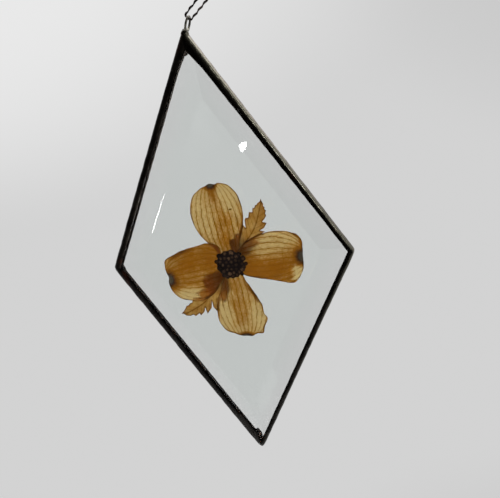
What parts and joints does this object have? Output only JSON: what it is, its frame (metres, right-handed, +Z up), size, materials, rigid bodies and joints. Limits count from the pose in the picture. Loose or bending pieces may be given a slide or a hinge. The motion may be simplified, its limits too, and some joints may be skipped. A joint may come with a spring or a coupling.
{
  "type": "pressed flower suncatcher",
  "caption": "Diamond suncatcher: a pressed dogwood flower and leaves between bevelled glass plates bound by a soldered rim, hung by a ring and a short chain.",
  "frame": {"origin": "centre of the hang ring at the free end of the chain, where a hook or nail goes through", "axes": "+Z up, with the glass diamond's long axis nearly along it; -Y is the front, the side that is looked at; +X to the right"},
  "size_m": [0.1035, 0.011, 0.2085],
  "materials": {
    "glass": "polished",
    "solder": "satin",
    "wire": "satin",
    "chain": "satin",
    "bract": "matte",
    "buds": "matte",
    "leaf": "matte"
  },
  "bodies": {
    "chain": {"hang_ring": "wire", "chain_link_upper": "chain", "chain_link_lower": "chain"},
    "panel": {"glass_front": "glass", "glass_back": "glass", "solder_border": "solder", "soldered_ring": "wire", "bract_top": "bract", "bract_right": "bract", "bract_bottom": "bract", "bract_left": "bract", "flower_head": "buds", "leaf_upper": "leaf", "leaf_lower": "leaf"}
  },
  "joints": [
    {"name": "panel_swing", "type": "hinge", "parent": "chain", "child": "panel", "pos_m": [-0.02372, 0, -0.01907], "axis": [0, 1, 0], "range_deg": [-90, 90]}
  ]
}
